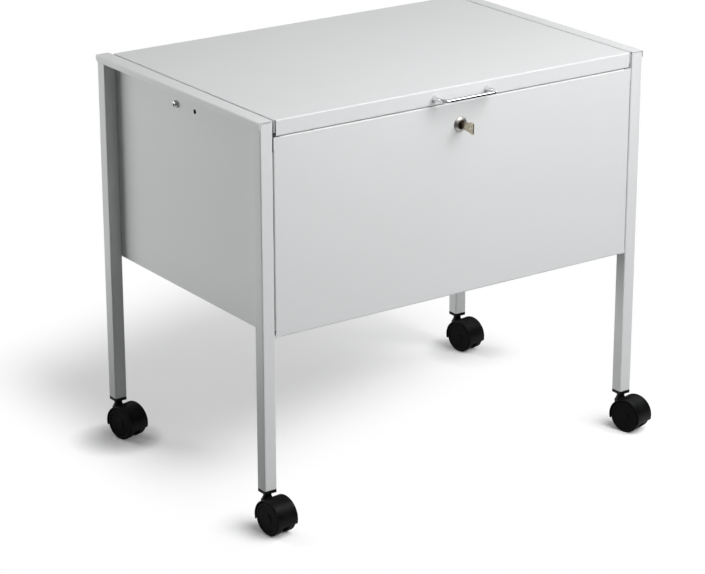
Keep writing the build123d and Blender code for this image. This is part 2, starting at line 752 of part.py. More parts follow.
# Castors, drawn once about the swivel axis and then set under each leg
wheel_inner = wheel_gap / 2
wheel_outer = wheel_inner + wheel_width
hood_half = wheel_outer + hood_side
hood_skirt = wheel_radius - hood_skirt_drop
web_half = wheel_inner - hood_web_gap
axle_bore = axle_diameter / 2 + running_clearance
socket_top = leg_foot + socket_plug

# Socket: plug pressed into the leg, with a bore for the swivel stem
with BuildPart() as socket_shape:
    with BuildSketch(Plane.XY.offset(socket_bottom)):
        RectangleRounded(leg_size, leg_size, leg_corner)
    extrude(amount=socket_flange)
    with BuildSketch(Plane.XY.offset(leg_foot)):
        RectangleRounded(leg_bore - 2 * socket_gap, leg_bore - 2 * socket_gap, leg_wall)
    extrude(amount=socket_plug)
    with BuildSketch(Plane.XY.offset(socket_bottom)):
        Circle(stem_head_diameter / 2 + running_clearance)
    extrude(amount=socket_top - socket_roof - socket_bottom, mode=Mode.SUBTRACT)

# Stem: thin end in the hood's neck, thick end in the socket
with BuildPart() as stem_shape:
    with BuildSketch(Plane.XY.offset(neck_top - stem_depth)):
        Circle(stem_diameter / 2)
    extrude(amount=stem_depth)
    with BuildSketch(Plane.XY.offset(neck_top)):
        Circle(stem_head_diameter / 2)
    extrude(amount=socket_top - socket_roof - swivel_gap - neck_top)

# Hood: mudguard over both wheels, a web between them and the swivel neck
with BuildPart() as hood_shape:
    with BuildSketch(Plane.YZ.offset(-hood_half)):
        with Locations((-castor_trail, wheel_radius)):
            Circle(hood_outer)
        with Locations((-castor_trail, hood_skirt + hood_outer)):
            Rectangle(2 * hood_outer, 2 * hood_outer, mode=Mode.INTERSECT)
    extrude(amount=2 * hood_half)
    rims = hood_shape.edges().filter_by(GeomType.CIRCLE)
    fillet(rims, radius=hood_edge)
    with BuildSketch(Plane.XZ):
        with BuildLine():
            Polyline(
                (0, neck_top),
                (neck_diameter / 2, neck_top),
                (neck_diameter / 2, neck_top - neck_straight),
                (neck_flare_diameter / 2, neck_top - neck_straight - neck_flare),
                (neck_diameter / 2, wheel_radius),
                (0, wheel_radius),
                close=True,
            )
        make_face()
    revolve(axis=Axis.Z)
    with BuildSketch(Plane.YZ.offset(-hood_half)):
        with Locations((-castor_trail, wheel_radius)):
            Circle(hood_inner)
    extrude(amount=2 * hood_half, mode=Mode.SUBTRACT)
    with BuildSketch(Plane.YZ.offset(-web_half)):
        with Locations((-castor_trail, wheel_radius)):
            Circle(hood_inner + hood_wall / 2)
        with Locations((-castor_trail, hood_skirt + hood_outer)):
            Rectangle(2 * hood_outer, 2 * hood_outer, mode=Mode.INTERSECT)
        with Locations((-castor_trail, wheel_radius)):
            Circle(hood_hub_diameter / 2)
            Circle(axle_bore, mode=Mode.SUBTRACT)
    extrude(amount=2 * web_half)
    with BuildSketch(Plane.XY.offset(neck_top)):
        Circle(stem_diameter / 2 + running_clearance)
    extrude(amount=-stem_depth, mode=Mode.SUBTRACT)

axle_half = wheel_outer - axle_inset
with BuildPart() as axle_shape:
    with BuildSketch(Plane.YZ.offset(-axle_half)):
        with Locations((-castor_trail, wheel_radius)):
            Circle(axle_diameter / 2)
    extrude(amount=2 * axle_half)

# Wheel: hollow towards the web, with a dished disc outside
rim_inner = wheel_radius - wheel_rim
hub_radius = wheel_hub_diameter / 2
disc_inner = wheel_outer - wheel_disc
wheel_shape = turned(
    -castor_trail,
    wheel_radius,
    [
        (wheel_inner, axle_bore),
        (wheel_inner, hub_radius),
        (disc_inner, hub_radius),
        (disc_inner, rim_inner),
        (wheel_inner, rim_inner),
        (wheel_inner, wheel_radius - wheel_edge),
        (wheel_inner + wheel_edge, wheel_radius),
        (wheel_outer - wheel_edge, wheel_radius),
        (wheel_outer, wheel_radius - wheel_edge),
        (wheel_outer, rim_inner),
        (wheel_outer - wheel_dish, rim_inner - wheel_dish),
        (wheel_outer - wheel_dish, hub_radius),
        (wheel_outer, hub_radius - wheel_dish),
        (wheel_outer, 0),
        (axle_half + running_clearance, 0),
        (axle_half + running_clearance, axle_bore),
    ],
)

castor_pieces = {
    "socket": socket_shape,
    "stem": stem_shape,
    "hood": hood_shape,
    "axle": axle_shape,
    "wheel_left": mirrored(wheel_shape),
    "wheel_right": wheel_shape,
}
for name, (side, end) in corners.items():
    for piece_name, shape in castor_pieces.items():
        yaw = 0.0 if piece_name == "socket" else castor_yaw[name]
        with BuildPart() as piece:
            with Locations(Location((side * leg_x, end * leg_y, 0), (0, 0, yaw))):
                add(shape.part)
        save(piece, f"castor_{name}_{piece_name}")
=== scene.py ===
import bpy
import bmesh
import json
import math
from mathutils import Matrix, Vector

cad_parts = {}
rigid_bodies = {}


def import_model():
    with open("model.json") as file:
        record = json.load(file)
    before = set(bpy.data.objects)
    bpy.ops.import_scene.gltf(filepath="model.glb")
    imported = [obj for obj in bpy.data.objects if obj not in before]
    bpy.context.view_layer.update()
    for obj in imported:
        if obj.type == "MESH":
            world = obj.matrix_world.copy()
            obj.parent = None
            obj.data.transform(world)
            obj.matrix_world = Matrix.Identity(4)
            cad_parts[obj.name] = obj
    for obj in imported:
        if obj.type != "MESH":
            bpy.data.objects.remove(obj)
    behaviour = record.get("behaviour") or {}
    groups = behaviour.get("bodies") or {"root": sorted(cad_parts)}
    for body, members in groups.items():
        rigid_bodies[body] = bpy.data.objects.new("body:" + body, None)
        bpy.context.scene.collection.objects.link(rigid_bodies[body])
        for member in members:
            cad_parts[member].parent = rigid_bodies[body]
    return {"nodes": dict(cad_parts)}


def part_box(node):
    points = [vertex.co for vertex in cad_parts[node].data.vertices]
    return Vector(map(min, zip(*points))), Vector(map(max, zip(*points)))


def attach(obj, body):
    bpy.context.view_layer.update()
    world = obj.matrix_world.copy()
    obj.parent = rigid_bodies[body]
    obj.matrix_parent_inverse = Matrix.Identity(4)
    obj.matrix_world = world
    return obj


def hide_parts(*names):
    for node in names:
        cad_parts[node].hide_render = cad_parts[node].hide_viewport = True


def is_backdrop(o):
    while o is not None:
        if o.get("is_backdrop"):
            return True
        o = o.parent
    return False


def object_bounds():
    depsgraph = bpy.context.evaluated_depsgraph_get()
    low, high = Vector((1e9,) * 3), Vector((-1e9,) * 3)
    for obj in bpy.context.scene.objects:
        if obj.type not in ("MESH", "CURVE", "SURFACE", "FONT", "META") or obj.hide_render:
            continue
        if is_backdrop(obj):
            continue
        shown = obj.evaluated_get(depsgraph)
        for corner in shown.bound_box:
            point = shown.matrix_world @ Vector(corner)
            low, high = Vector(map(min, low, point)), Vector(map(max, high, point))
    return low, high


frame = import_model()
cadLow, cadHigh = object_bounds()


# Small helpers for node trees

def putNode(tree, kind, x, y, **settings):
    node = tree.nodes.new(kind)
    node.location = (x, y)
    for key, value in settings.items():
        setattr(node, key, value)
    return node


def feed(tree, value, socket):
    # another node's output is linked, a number or a colour is set on the socket itself
    if isinstance(value, bpy.types.NodeSocket):
        tree.links.new(value, socket)
    elif socket.type == "RGBA":
        socket.default_value = (*value, 1.0)
    else:
        socket.default_value = value


def noiseNode(tree, x, y, where, scale, detail, rough):
    node = putNode(tree, "ShaderNodeTexNoise", x, y)
    feed(tree, where, node.inputs["Vector"])
    feed(tree, scale, node.inputs["Scale"])
    feed(tree, detail, node.inputs["Detail"])
    feed(tree, rough, node.inputs["Roughness"])
    return node.outputs


def rampNode(tree, x, y, value, span, result=(0.0, 1.0), smooth=False):
    # takes a value from one range to another
    node = putNode(tree, "ShaderNodeMapRange", x, y)
    if smooth:
        node.interpolation_type = "SMOOTHSTEP"
    feed(tree, value, node.inputs["Value"])
    for label, limit in zip(("From Min", "From Max", "To Min", "To Max"), (*span, *result)):
        feed(tree, limit, node.inputs[label])
    return node.outputs["Result"]


def mathNode(tree, x, y, operation, *values):
    node = putNode(tree, "ShaderNodeMath", x, y, operation=operation)
    for order, value in enumerate(values):
        feed(tree, value, node.inputs[order])
    return node.outputs[0]


def vectorNode(tree, x, y, operation, *values):
    node = putNode(tree, "ShaderNodeVectorMath", x, y, operation=operation)
    for order, value in enumerate(values):
        feed(tree, value, node.inputs[order])
    return node.outputs["Value" if operation in ("DOT_PRODUCT", "LENGTH") else "Vector"]


def splitNode(tree, x, y, vector):
    node = putNode(tree, "ShaderNodeSeparateXYZ", x, y)
    feed(tree, vector, node.inputs[0])
    return node.outputs


def mixColour(tree, x, y, below, above, mask, share=None):
    # one colour over another where the mask says, in full or by a share of it
    if share is not None:
        mask = mathNode(tree, x - 180, y - 240, "MULTIPLY", mask, share)
    node = putNode(tree, "ShaderNodeMix", x, y, data_type="RGBA")
    feed(tree, mask, node.inputs[0])
    feed(tree, below, node.inputs[6])
    feed(tree, above, node.inputs[7])
    return node.outputs[2]


# Shared effects, each a node group

def newGroup(name, inputs, outputs):
    tree = bpy.data.node_groups.new(name, "ShaderNodeTree")
    for label, value in {"Vector": (0.0, 0.0, 0.0), **inputs}.items():
        kind = "NodeSocketVector" if isinstance(value, tuple) else "NodeSocketFloat"
        socket = tree.interface.new_socket(label, in_out="INPUT", socket_type=kind)
        socket.default_value = value
    for label in outputs:
        tree.interface.new_socket(label, in_out="OUTPUT", socket_type="NodeSocketFloat")
    enter = putNode(tree, "NodeGroupInput", -900, 0)
    leave = putNode(tree, "NodeGroupOutput", 700, 0)
    return tree, enter.outputs, leave.inputs


def placeGroup(tree, group, x, y, where, values):
    node = putNode(tree, "ShaderNodeGroup", x, y, node_tree=group)
    feed(tree, where, node.inputs["Vector"])
    for label, value in values.items():
        feed(tree, value, node.inputs[label])
    return node.outputs


grainEffect = {
    "speckFiner": 2.3,  # speck scale over grain scale
    "speckSpan": (0.38, 0.72),
    "broadSpan": (0.3, 0.7),
}


def makeFineGrain():
    # small bumps of a sprayed or moulded skin, plus a broad unevenness
    look = grainEffect
    inputs = {"Grain Scale": 700.0, "Broad Scale": 6.0}
    tree, enter, leave = newGroup("fineGrain", inputs, ("Height", "Speck", "Broad"))
    where, scale = enter["Vector"], enter["Grain Scale"]
    finer = mathNode(tree, -760, -60, "MULTIPLY", scale, look["speckFiner"])
    grain = noiseNode(tree, -600, 200, where, scale, detail=3.0, rough=0.55)
    speck = noiseNode(tree, -600, -60, where, finer, detail=1.0, rough=0.5)
    broad = noiseNode(tree, -600, -320, where, enter["Broad Scale"], detail=3.0, rough=0.6)
    feed(tree, grain["Fac"], leave["Height"])
    feed(tree, rampNode(tree, -300, -60, speck["Fac"], look["speckSpan"]), leave["Speck"])
    feed(tree, rampNode(tree, -300, -320, broad["Fac"], look["broadSpan"]), leave["Broad"])
    return tree


edgeWearAndSheenEffect = {
    "edgeSpan": (0.995, 0.86),  # how far the rounded normal leans from the flat one, as a cosine
    "patchSpan": (0.42, 0.68),
    "samples": 4,
}


def makeEdgeWearAndSheen():
    # mask along edges, whole and broken up by noise: real edge wear, and also painted edge highlight
    # and painted edge sheen
    look = edgeWearAndSheenEffect
    tree, enter, leave = newGroup("edgeWear", {"Radius": 0.001, "Break Scale": 60.0}, ("Mask", "Edge"))
    bevel = putNode(tree, "ShaderNodeBevel", -640, 160, samples=look["samples"])
    feed(tree, enter["Radius"], bevel.inputs["Radius"])
    flat = putNode(tree, "ShaderNodeNewGeometry", -640, -20)
    facing = vectorNode(tree, -420, 100, "DOT_PRODUCT", bevel.outputs["Normal"], flat.outputs["Normal"])
    edge = rampNode(tree, -200, 100, facing, look["edgeSpan"])
    breakUp = noiseNode(tree, -640, -260, enter["Vector"], enter["Break Scale"], detail=4.0, rough=0.6)
    patches = rampNode(tree, -420, -260, breakUp["Fac"], look["patchSpan"])
    feed(tree, mathNode(tree, 40, 0, "MULTIPLY", edge, patches), leave["Mask"])
    feed(tree, edge, leave["Edge"])
    return tree


dustEffect = {
    "upwardSpan": (0.35, 0.95),
    "patchSpan": (0.35, 0.75),
}


def makeDustFilm():
    # thin dust on faces that look up
    look = dustEffect
    tree, enter, leave = newGroup("dustFilm", {"Scale": 20.0}, ("Mask",))
    normal = putNode(tree, "ShaderNodeNewGeometry", -640, 120).outputs["Normal"]
    height = splitNode(tree, -440, 120, normal)["Z"]
    upward = rampNode(tree, -240, 120, height, look["upwardSpan"])
    cloud = noiseNode(tree, -640, -140, enter["Vector"], enter["Scale"], detail=5.0, rough=0.65)
    patches = rampNode(tree, -240, -140, cloud["Fac"], look["patchSpan"])
    feed(tree, mathNode(tree, 20, 0, "MULTIPLY", upward, patches), leave["Mask"])
    return tree


lineEffect = {
    "bendScale": 40.0,
    "bendShift": (0.02, 0.02, 0.02),
    "hairSpan": (0.03, 0.0),
}


def makeDrawnLines():
    # fine lines along one direction, as on rolled or polished metal, and hairline scratches
    look = lineEffect
    inputs = {"Stretch": (20.0, 900.0, 900.0), "Scratch Scale": 180.0}
    tree, enter, leave = newGroup("drawnLines", inputs, ("Lines", "Scratches"))
    where = enter["Vector"]
    stretched = vectorNode(tree, -660, 120, "MULTIPLY", where, enter["Stretch"])
    lines = noiseNode(tree, -440, 120, stretched, 1.0, detail=3.0, rough=0.6)
    bent = noiseNode(tree, -660, -200, where, look["bendScale"], detail=2.0, rough=0.5)
    shifted = vectorNode(tree, -440, -200, "MULTIPLY_ADD", bent["Color"], look["bendShift"], where)
    cells = putNode(tree, "ShaderNodeTexVoronoi", -220, -200, feature="DISTANCE_TO_EDGE")
    feed(tree, shifted, cells.inputs["Vector"])
    feed(tree, enter["Scratch Scale"], cells.inputs["Scale"])
    hair = rampNode(tree, 20, -200, cells.outputs["Distance"], look["hairSpan"])
    feed(tree, lines["Fac"], leave["Lines"])
    feed(tree, hair, leave["Scratches"])
    return tree


fineGrain = makeFineGrain()
edgeWear = makeEdgeWearAndSheen()
dustFilm = makeDustFilm()
drawnLines = makeDrawnLines()
print("shared effects ready")


# Finishes

def newMaterial(name):
    material = bpy.data.materials.new(name)
    material.use_nodes = True
    tree = material.node_tree
    shader = tree.nodes["Principled BSDF"]
    shader.location = (500, 0)
    tree.nodes["Material Output"].location = (820, 0)
    where = putNode(tree, "ShaderNodeTexCoord", -1100, 0).outputs["Object"]
    return material, tree, shader.inputs, where


def addBump(tree, skin, height, look):
    bump = putNode(tree, "ShaderNodeBump", 260, -320)
    feed(tree, look["bump"], bump.inputs["Strength"])
    feed(tree, look["bumpDepth"], bump.inputs["Distance"])
    feed(tree, height, bump.inputs["Height"])
    feed(tree, bump.outputs["Normal"], skin["Normal"])
    return bump


powderCoat = {
    "colour": (0.658, 0.668, 0.664),
    "cloudColour": (0.646, 0.657, 0.653),
    "speckColour": (0.600, 0.615, 0.612),
    # lighter colour along the edges: painted highlight, and a thinner coat there
    "edgeColour": (0.72, 0.73, 0.72),
    "dustColour": (0.60, 0.59, 0.56),
    "speckShare": 0.22,
    "edgeShare": 0.08,
    "dustShare": 0.06,
    "grainScale": 620.0,
    "cloudScale": 5.0,
    "dustScale": 14.0,
    "edgeMaskRadius": 0.0011,
    "roughness": (0.50, 0.60),
    "specular": 0.28,
    "bump": 0.16,
    "bumpDepth": 0.00012,
    "edgeRadius": 0.0006,
    "edgeSamples": 6,
}


def makePowderCoat():
    look = powderCoat
    material, tree, skin, where = newMaterial("lightGreyPowderCoat")
    scales = {"Grain Scale": look["grainScale"], "Broad Scale": look["cloudScale"]}
    grain = placeGroup(tree, fineGrain, -860, 200, where, scales)
    edgeWearAndSheenMasks = placeGroup(tree, edgeWear, -860, -40, where, {"Radius": look["edgeMaskRadius"]})
    dust = placeGroup(tree, dustFilm, -860, -260, where, {"Scale": look["dustScale"]})
    colour = mixColour(tree, -560, 300, look["colour"], look["cloudColour"], grain["Broad"])
    colour = mixColour(tree, -340, 240, colour, look["speckColour"], grain["Speck"], look["speckShare"])
    # painted highlight along every edge, partly also a thinner coat at the edges
    colour = mixColour(tree, -120, 200, colour, look["edgeColour"], edgeWearAndSheenMasks["Edge"], look["edgeShare"])
    colour = mixColour(tree, 120, 160, colour, look["dustColour"], dust["Mask"], look["dustShare"])
    feed(tree, colour, skin["Base Color"])
    rough = rampNode(tree, 120, -120, grain["Broad"], (0.0, 1.0), look["roughness"])
    feed(tree, rough, skin["Roughness"])
    feed(tree, look["specular"], skin["Specular IOR Level"])
    bump = addBump(tree, skin, grain["Height"], look)
    rounding = putNode(tree, "ShaderNodeBevel", 40, -420, samples=look["edgeSamples"])
    feed(tree, look["edgeRadius"], rounding.inputs["Radius"])
    feed(tree, rounding.outputs["Normal"], bump.inputs["Normal"])
    return material


zincPlate = {
    "colour": (0.66, 0.67, 0.69),
    "flakeColour": (0.56, 0.575, 0.60),
    "wornColour": (0.76, 0.76, 0.76),
    "flakeScale": 210.0,
    "stretch": (30.0, 900.0, 900.0),
    "edgeMaskRadius": 0.0007,
    "edgeBreakScale": 120.0,
    "lineSpan": (0.2, 0.8),
    "roughness": (0.30, 0.46),
    "bump": 0.12,
    "bumpDepth": 0.00006,
}


def makeZincPlate():
    look = zincPlate
    material, tree, skin, where = newMaterial("zincPlatedSteel")
    flakes = putNode(tree, "ShaderNodeTexVoronoi", -860, 300)
    feed(tree, where, flakes.inputs["Vector"])
    feed(tree, look["flakeScale"], flakes.inputs["Scale"])
    tones = putNode(tree, "ShaderNodeSeparateColor", -620, 300)
    feed(tree, flakes.outputs["Color"], tones.inputs[0])
    lines = placeGroup(tree, drawnLines, -860, 20, where, {"Stretch": look["stretch"]})
    edges = {"Radius": look["edgeMaskRadius"], "Break Scale": look["edgeBreakScale"]}
    edgeWearAndSheenMasks = placeGroup(tree, edgeWear, -860, -240, where, edges)
    colour = mixColour(tree, -380, 260, look["colour"], look["flakeColour"], tones.outputs[0])
    colour = mixColour(tree, -120, 200, colour, look["wornColour"], edgeWearAndSheenMasks["Mask"])
    feed(tree, colour, skin["Base Color"])
    feed(tree, 1.0, skin["Metallic"])
    rough = rampNode(tree, -120, -60, lines["Lines"], look["lineSpan"], look["roughness"])
    feed(tree, rough, skin["Roughness"])
    addBump(tree, skin, lines["Lines"], look)
    return material


plating = {
    "scratchScale": 260.0,
    "grainScale": 400.0,
    "cloudScale": 45.0,
    "hazeShare": 0.35,
    "scratchRub": 0.5,
    "cloudRub": 0.5,
    "bump": 0.03,
    "bumpDepth": 0.00004,
}
chromePlate = {
    **plating,
    "colour": (0.78, 0.785, 0.80),
    "hazeColour": (0.66, 0.665, 0.68),
    "roughness": (0.045, 0.16),
}
lockNickel = {
    **plating,
    "colour": (0.43, 0.42, 0.395),
    "hazeColour": (0.35, 0.34, 0.315),
    "roughness": (0.36, 0.50),
}


def makePlating(name, look):
    material, tree, skin, where = newMaterial(name)
    lines = placeGroup(tree, drawnLines, -860, 120, where, {"Scratch Scale": look["scratchScale"]})
    scales = {"Grain Scale": look["grainScale"], "Broad Scale": look["cloudScale"]}
    grain = placeGroup(tree, fineGrain, -860, -140, where, scales)
    broad = grain["Broad"]
    colour = mixColour(tree, -240, 220, look["colour"], look["hazeColour"], broad, look["hazeShare"])
    feed(tree, colour, skin["Base Color"])
    feed(tree, 1.0, skin["Metallic"])
    marks = mathNode(tree, -480, -140, "MULTIPLY", lines["Scratches"], look["scratchRub"])
    rubbed = mathNode(tree, -240, -60, "MULTIPLY_ADD", broad, look["cloudRub"], marks)
    feed(tree, rampNode(tree, 0, -60, rubbed, (0.0, 1.0), look["roughness"]), skin["Roughness"])
    addBump(tree, skin, grain["Height"], look)
    return material


lockBrass = {
    "cloudScale": 160.0,
    "edgeMaskRadius": 0.0005,
    "stretch": (900.0, 60.0, 900.0),
    "darkShare": 0.55,
    "lineSpan": (0.2, 0.8),
    "bump": 0.10,
    "bumpDepth": 0.00005,
}
keyMetal = {
    **lockBrass,
    "colour": (0.63, 0.575, 0.46),
    "darkColour": (0.41, 0.35, 0.25),
    "edgeColour": (0.75, 0.69, 0.56),
    "roughness": (0.24, 0.40),
}
# aged brass, darkened further as painted shade of the keyway and a painted reflection of the key on the
# plug's face
plugBrassWithPaintedShade = {
    **lockBrass,
    "colour": (0.085, 0.060, 0.036),
    "darkColour": (0.035, 0.023, 0.013),
    "edgeColour": (0.24, 0.19, 0.12),
    "roughness": (0.30, 0.46),
}


def makeLockBrass(name, look):
    material, tree, skin, where = newMaterial(name)
    grain = placeGroup(tree, fineGrain, -860, 200, where, {"Broad Scale": look["cloudScale"]})
    edgeWearAndSheenMasks = placeGroup(tree, edgeWear, -860, -40, where, {"Radius": look["edgeMaskRadius"]})
    lines = placeGroup(tree, drawnLines, -860, -280, where, {"Stretch": look["stretch"]})
    broad = grain["Broad"]
    colour = mixColour(tree, -340, 240, look["colour"], look["darkColour"], broad, look["darkShare"])
    colour = mixColour(tree, -80, 200, colour, look["edgeColour"], edgeWearAndSheenMasks["Edge"])
    feed(tree, colour, skin["Base Color"])
    feed(tree, 1.0, skin["Metallic"])
    rough = rampNode(tree, -80, -80, lines["Lines"], look["lineSpan"], look["roughness"])
    feed(tree, rough, skin["Roughness"])
    addBump(tree, skin, lines["Lines"], look)
    return material


# the edge colours of the black finishes are paler: real edge wear and painted sheen along the edges
mouldedBlack = {
    "cloudScale": 55.0,
    "dustScale": 90.0,
    "edgeMaskRadius": 0.0009,
    "edgeBreakScale": 140.0,
}
hoodNylon = {
    **mouldedBlack,
    "colour": (0.0026, 0.0027, 0.0031),
    "paleColour": (0.0050, 0.0052, 0.0057),
    "edgeColour": (0.022, 0.022, 0.024),
    "dustColour": (0.05, 0.049, 0.046),
    "edgeShare": 0.5,
    "dustShare": 0.10,
    "grainScale": 1500.0,
    "roughness": (0.32, 0.46),
    "specular": 0.08,
    "bump": 0.22,
    "bumpDepth": 0.00008,
}
wheelNylon = {
    **mouldedBlack,
    "colour": (0.0022, 0.0022, 0.0025),
    "paleColour": (0.0045, 0.0045, 0.0048),
    "edgeColour": (0.018, 0.018, 0.018),
    "dustColour": (0.04, 0.039, 0.037),
    "edgeShare": 0.7,
    "dustShare": 0.05,
    "grainScale": 1100.0,
    "roughness": (0.42, 0.58),
    "specular": 0.045,
    "bump": 0.28,
    "bumpDepth": 0.00010,
}
bufferRubber = {
    **mouldedBlack,
    "colour": (0.018, 0.018, 0.018),
    "paleColour": (0.030, 0.030, 0.030),
    "edgeColour": (0.06, 0.06, 0.06),
    "dustColour": (0.14, 0.135, 0.12),
    "edgeShare": 0.5,
    "dustShare": 0.12,
    "grainScale": 2200.0,
    "roughness": (0.62, 0.78),
    "specular": 0.35,
    "bump": 0.3,
    "bumpDepth": 0.00008,
}


def makeMouldedBlack(name, look):
    material, tree, skin, where = newMaterial(name)
    scales = {"Grain Scale": look["grainScale"], "Broad Scale": look["cloudScale"]}
    grain = placeGroup(tree, fineGrain, -860, 200, where, scales)
    edges = {"Radius": look["edgeMaskRadius"], "Break Scale": look["edgeBreakScale"]}
    edgeWearAndSheenMasks = placeGroup(tree, edgeWear, -860, -40, where, edges)
    dust = placeGroup(tree, dustFilm, -860, -260, where, {"Scale": look["dustScale"]})
    colour = mixColour(tree, -460, 260, look["colour"], look["paleColour"], grain["Broad"])
    # paler edges: real wear and painted sheen
    colour = mixColour(tree, -200, 220, colour, look["edgeColour"], edgeWearAndSheenMasks["Mask"], look["edgeShare"])
    colour = mixColour(tree, 60, 180, colour, look["dustColour"], dust["Mask"], look["dustShare"])
    feed(tree, colour, skin["Base Color"])
    rough = rampNode(tree, 60, -120, grain["Broad"], (0.0, 1.0), look["roughness"])
    feed(tree, rough, skin["Roughness"])
    feed(tree, look["specular"], skin["Specular IOR Level"])
    addBump(tree, skin, grain["Height"], look)
    return material


zincMaterial = makeZincPlate()
chromeMaterial = makePlating("brightChrome", chromePlate)
wheelMaterial = makeMouldedBlack("castorWheelNylon", wheelNylon)
slotFinishes = {
    "grey_powder_coat": makePowderCoat(),
    "zinc_plated_steel": zincMaterial,
    "chrome": chromeMaterial,
    "nickel_key": makeLockBrass("nickelledKeyBrass", keyMetal),
    "buffer_rubber": makeMouldedBlack("bufferRubber", bufferRubber),
    "castor_black": makeMouldedBlack("castorHoodNylon", hoodNylon),
}
ownFinishes = {
    "lock_plug": makeLockBrass("agedPlugBrass", plugBrassWithPaintedShade),
    "lock_barrel": makePlating("satinLockNickel", lockNickel),
}

slotOf = {}
for name, piece in frame["nodes"].items():
    for slot in piece.material_slots:
        slotOf[name] = slot.material.name.split(".")[0]
        slot.material = ownFinishes.get(name, slotFinishes[slotOf[name]])
        if "_wheel_" in name:
            slot.material = wheelMaterial
print("finishes set on", len(frame["nodes"]), "nodes")


# Small pieces with turned and cut detail, in place of the plain solids

meshWork = {
    "merge": 0.00001,  # points nearer than this are one
    "turnedSides": 56,
    "flatAngle": 0.5,  # degrees, under which faces join
    "sharpAngle": 32.0,  # degrees, over which an edge shades sharp
    "breakAngle": 38.0,  # degrees, over which an edge is broken
}


def newObject(name, bm):
    mesh = bpy.data.meshes.new(name)
    bm.to_mesh(mesh)
    bm.free()
    thing = bpy.data.objects.new(name, mesh)
    bpy.context.scene.collection.objects.link(thing)
    return thing


def dropObject(thing):
    mesh = thing.data
    bpy.data.objects.remove(thing)
    bpy.data.meshes.remove(mesh)


def applied(thing):
    # shape of a working object with its modifiers, as a new bmesh; the object goes
    graph = bpy.context.evaluated_depsgraph_get()
    result = bpy.data.meshes.new_from_object(thing.evaluated_get(graph))
    bm = bmesh.new()
    bm.from_mesh(result)
    bpy.data.meshes.remove(result)
    dropObject(thing)
    return bm


def combine(first, second, operation):
    body = newObject("body", first)
    tool = newObject("tool", second)
    cut = body.modifiers.new("cut", "BOOLEAN")
    cut.operation = operation
    cut.solver = "EXACT"
    cut.object = tool
    bm = applied(body)
    dropObject(tool)
    return bm


def mergedNode(name):
    # a node's mesh as a new bmesh, its points joined
    bm = bmesh.new()
    bm.from_mesh(frame["nodes"][name].data)
    bmesh.ops.remove_doubles(bm, verts=bm.verts, dist=meshWork["merge"])
    return bm


def nodeIslands(name):
    # boxes of the separate solids in a node
    bm = mergedNode(name)
    left = set(bm.verts)
    boxes = []
    while left:
        group = [left.pop()]
        for vert in group:
            for edge in vert.link_edges:
                other = edge.other_vert(vert)
                if other in left:
                    left.remove(other)
                    group.append(other)
        low = Vector([min(vert.co[axis] for vert in group) for axis in range(3)])
        high = Vector([max(vert.co[axis] for vert in group) for axis in range(3)])
        boxes.append((low, high))
    bm.free()
    return sorted(boxes, key=lambda box: tuple(box[0]))


def skinRings(bm, rings, steps):
    # faces from ring to ring, where a ring of one point closes the end
    for upper, lower in zip(rings, rings[1:]):
        for step in range(steps):
            after = (step + 1) % steps
            corners = [upper[step % len(upper)], lower[step % len(lower)],
                       lower[after % len(lower)], upper[after % len(upper)]]
            bm.faces.new(list(dict.fromkeys(corners)))
    bmesh.ops.recalc_face_normals(bm, faces=bm.faces)


def turnedMesh(profile):
    # closed solid of revolution about Z from (radius, height) points that start and end on the axis
    steps = meshWork["turnedSides"]
    turns = [2 * math.pi * step / steps for step in range(steps)]
    bm = bmesh.new()
    rings = []
    for radius, height in profile:
        points = [(radius * math.cos(turn), radius * math.sin(turn), height) for turn in turns]
        if radius == 0:
            points = points[:1]
        rings.append([bm.verts.new(point) for point in points])
    skinRings(bm, rings, steps)
    return bm


def prism(corners, low, high, shrink=1.0):
    # straight or tapered prism along Z over a polygon
    bm = bmesh.new()
    lower = [bm.verts.new((x * shrink, y * shrink, low)) for x, y in corners]
    upper = [bm.verts.new((x, y, high)) for x, y in corners]
    bm.faces.new(lower[::-1])
    bm.faces.new(upper)
    for step in range(len(corners)):
        after = (step + 1) % len(corners)
        bm.faces.new((lower[step], lower[after], upper[after], upper[step]))
    return bm


def hexCorners(width):
    reach = width / 2 / math.cos(math.pi / 6)
    turns = [math.pi / 3 * step for step in range(6)]
    return [(reach * math.cos(turn), reach * math.sin(turn)) for turn in turns]


def standFor(node, bm, material):
    # new piece that takes the place of a node, on the node's body
    piece = newObject(node + "_fine", bm)
    piece.data.shade_smooth()
    piece.data.set_sharp_from_angle(angle=math.radians(meshWork["sharpAngle"]))
    piece.data.materials.append(material)
    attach(piece, frame["nodes"][node].parent.name.split(":")[1])
    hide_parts(node)


def inward(box):
    # across the trolley, towards its middle
    return (-1.0 if box[0][0] > 0 else 1.0, 0.0, 0.0)


def seated(box, axis):
    # local +Z along the axis, local origin in the middle of the box's face on that side
    low, high = box
    middle = (low + high) / 2
    half = (high - low) / 2
    point = Vector([middle[i] + axis[i] * half[i] for i in range(3)])
    turn = Vector((0.0, 0.0, 1.0)).rotation_difference(Vector(axis))
    return Matrix.Translation(point) @ turn.to_matrix().to_4x4()


def placeCopies(shape, placings):
    # copies of one local shape, joined
    bm = bmesh.new()
    mesh = bpy.data.meshes.new("copy")
    shape.to_mesh(mesh)
    shape.free()
    for placing in placings:
        before = len(bm.verts)
        bm.from_mesh(mesh)
        bm.verts.ensure_lookup_table()
        bmesh.ops.transform(bm, matrix=placing, verts=bm.verts[before:])
    bpy.data.meshes.remove(mesh)
    return bm


def screwBlank(look, headRadius, headHeight, shankRadius, length):
    # origin at the top of the head, shank down
    chamfer = look["shankChamfer"]
    profile = [(share * headRadius, (level - 1.0) * headHeight) for share, level in look["dome"]]
    profile += [(shankRadius, -headHeight), (shankRadius, chamfer - length)]
    profile += [(shankRadius - chamfer, -length), (0.0, -length)]
    return turnedMesh(profile)


